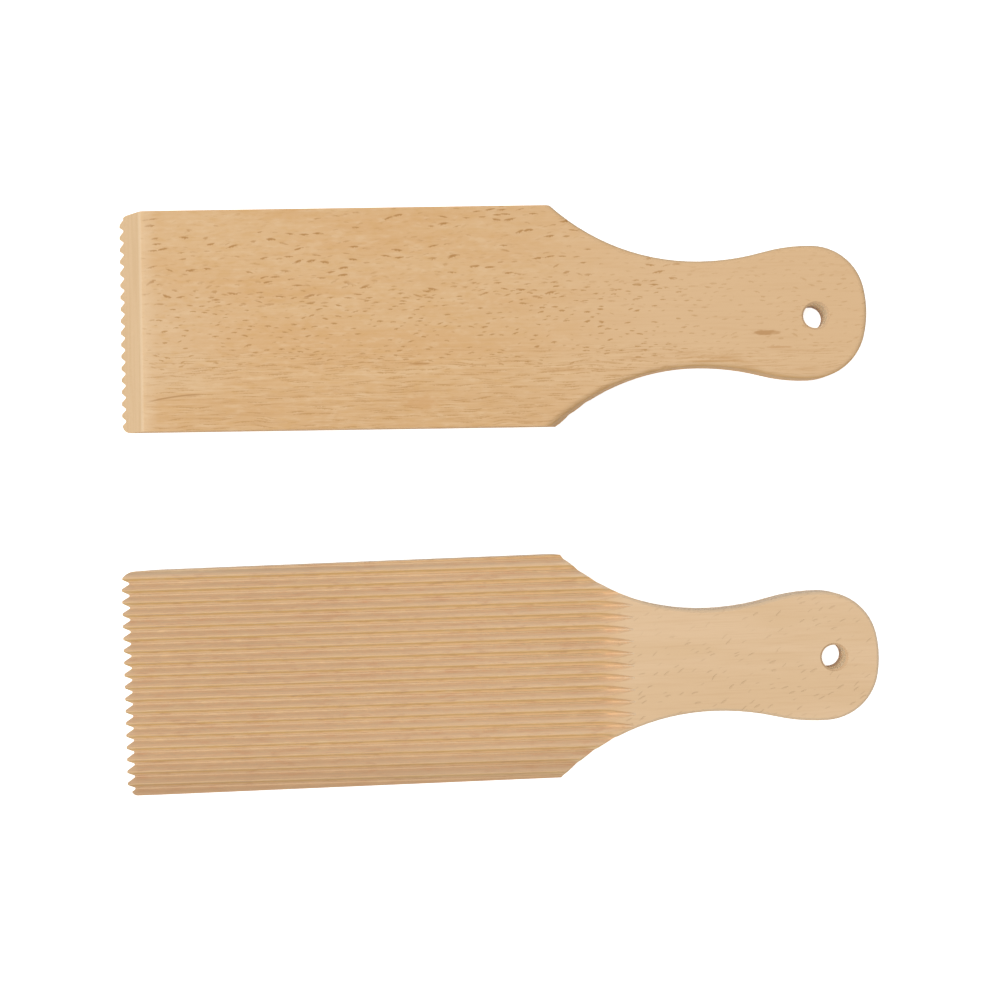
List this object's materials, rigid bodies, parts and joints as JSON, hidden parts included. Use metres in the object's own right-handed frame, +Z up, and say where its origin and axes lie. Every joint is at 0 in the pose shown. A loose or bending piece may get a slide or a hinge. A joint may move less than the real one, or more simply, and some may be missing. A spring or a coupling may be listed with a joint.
{
  "type": "gnocchi board",
  "caption": "Flat wooden paddle boards with waisted handles and hanging holes, smooth on one face and ridged lengthwise on the other, for rolling pasta dough, lying side by side.",
  "frame": {"origin": "under the middle of the pair's bounding box, on the table", "axes": "+X towards the handles' ends, along the boards; +Y from the board that lies ridges up to the one that lies ridges down; +Z up"},
  "size_m": [0.2222, 0.1708, 0.009],
  "materials": {
    "beech": "bare sanded beech, unvarnished"
  },
  "bodies": {
    "table_board": {"board_ridges_up": "beech"},
    "lifted_board": {"board_ridges_down": "beech"}
  },
  "joints": [
    {"name": "board_lift", "type": "slide", "parent": "table_board", "child": "lifted_board", "axis": [0, 0, 1], "range_m": [0, 0.1]}
  ]
}
